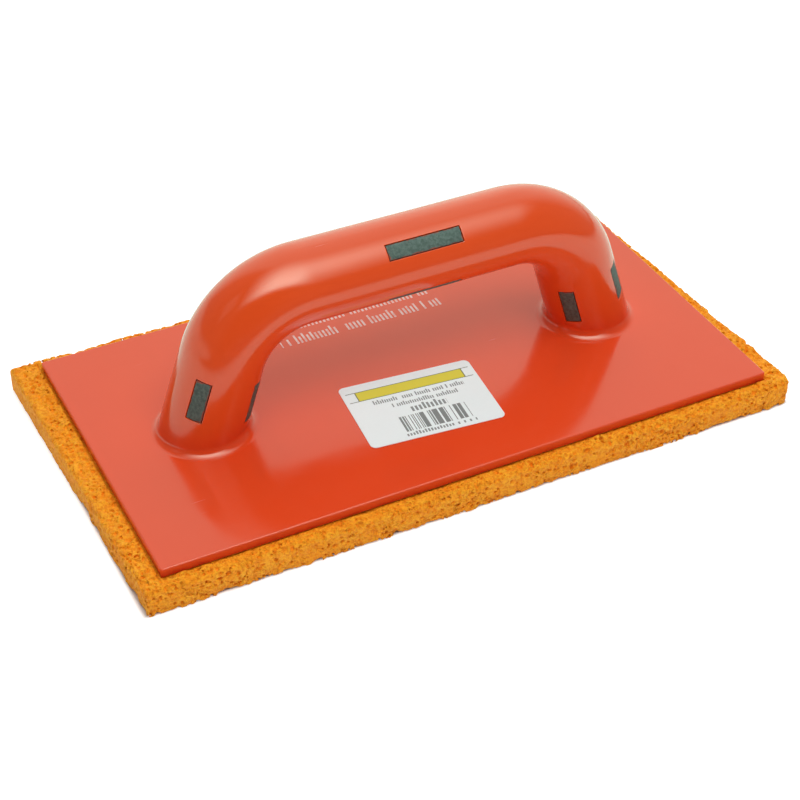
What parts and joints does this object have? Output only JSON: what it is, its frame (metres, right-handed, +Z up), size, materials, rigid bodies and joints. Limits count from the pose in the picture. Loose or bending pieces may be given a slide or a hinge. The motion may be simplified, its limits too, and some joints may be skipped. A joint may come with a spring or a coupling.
{
  "type": "grout float",
  "caption": "Sponge grout float: plastic plate and cored bow handle in one moulding, with a thick open-cell sponge glued under the plate.",
  "frame": {"origin": "centre of the sponge's working face, which is the face the tool rests on", "axes": "+Z up from the working face to the grip, +X along the handle, -Y the tool's front (the side with the label)"},
  "size_m": [0.2705, 0.142, 0.0818],
  "materials": {
    "red_plastic": "satin",
    "core_plastic": "matte",
    "spacer_rubber": "matte",
    "adhesive": "satin",
    "sponge": "matte",
    "label_paper": "satin"
  },
  "bodies": {
    "root": {"body_moulding": "red_plastic", "handle_core": "core_plastic", "spacer_grip_top_front": "spacer_rubber", "spacer_grip_bottom_front": "spacer_rubber", "spacer_grip_bottom_rear": "spacer_rubber", "spacer_grip_top_rear": "spacer_rubber", "spacer_left_outer_front": "spacer_rubber", "spacer_left_inner_front": "spacer_rubber", "spacer_left_inner_rear": "spacer_rubber", "spacer_left_outer_rear": "spacer_rubber", "spacer_right_outer_front": "spacer_rubber", "spacer_right_inner_front": "spacer_rubber", "spacer_right_inner_rear": "spacer_rubber", "spacer_right_outer_rear": "spacer_rubber", "adhesive_film": "adhesive", "sponge_pad": "sponge", "product_label": "label_paper"}
  },
  "joints": []
}
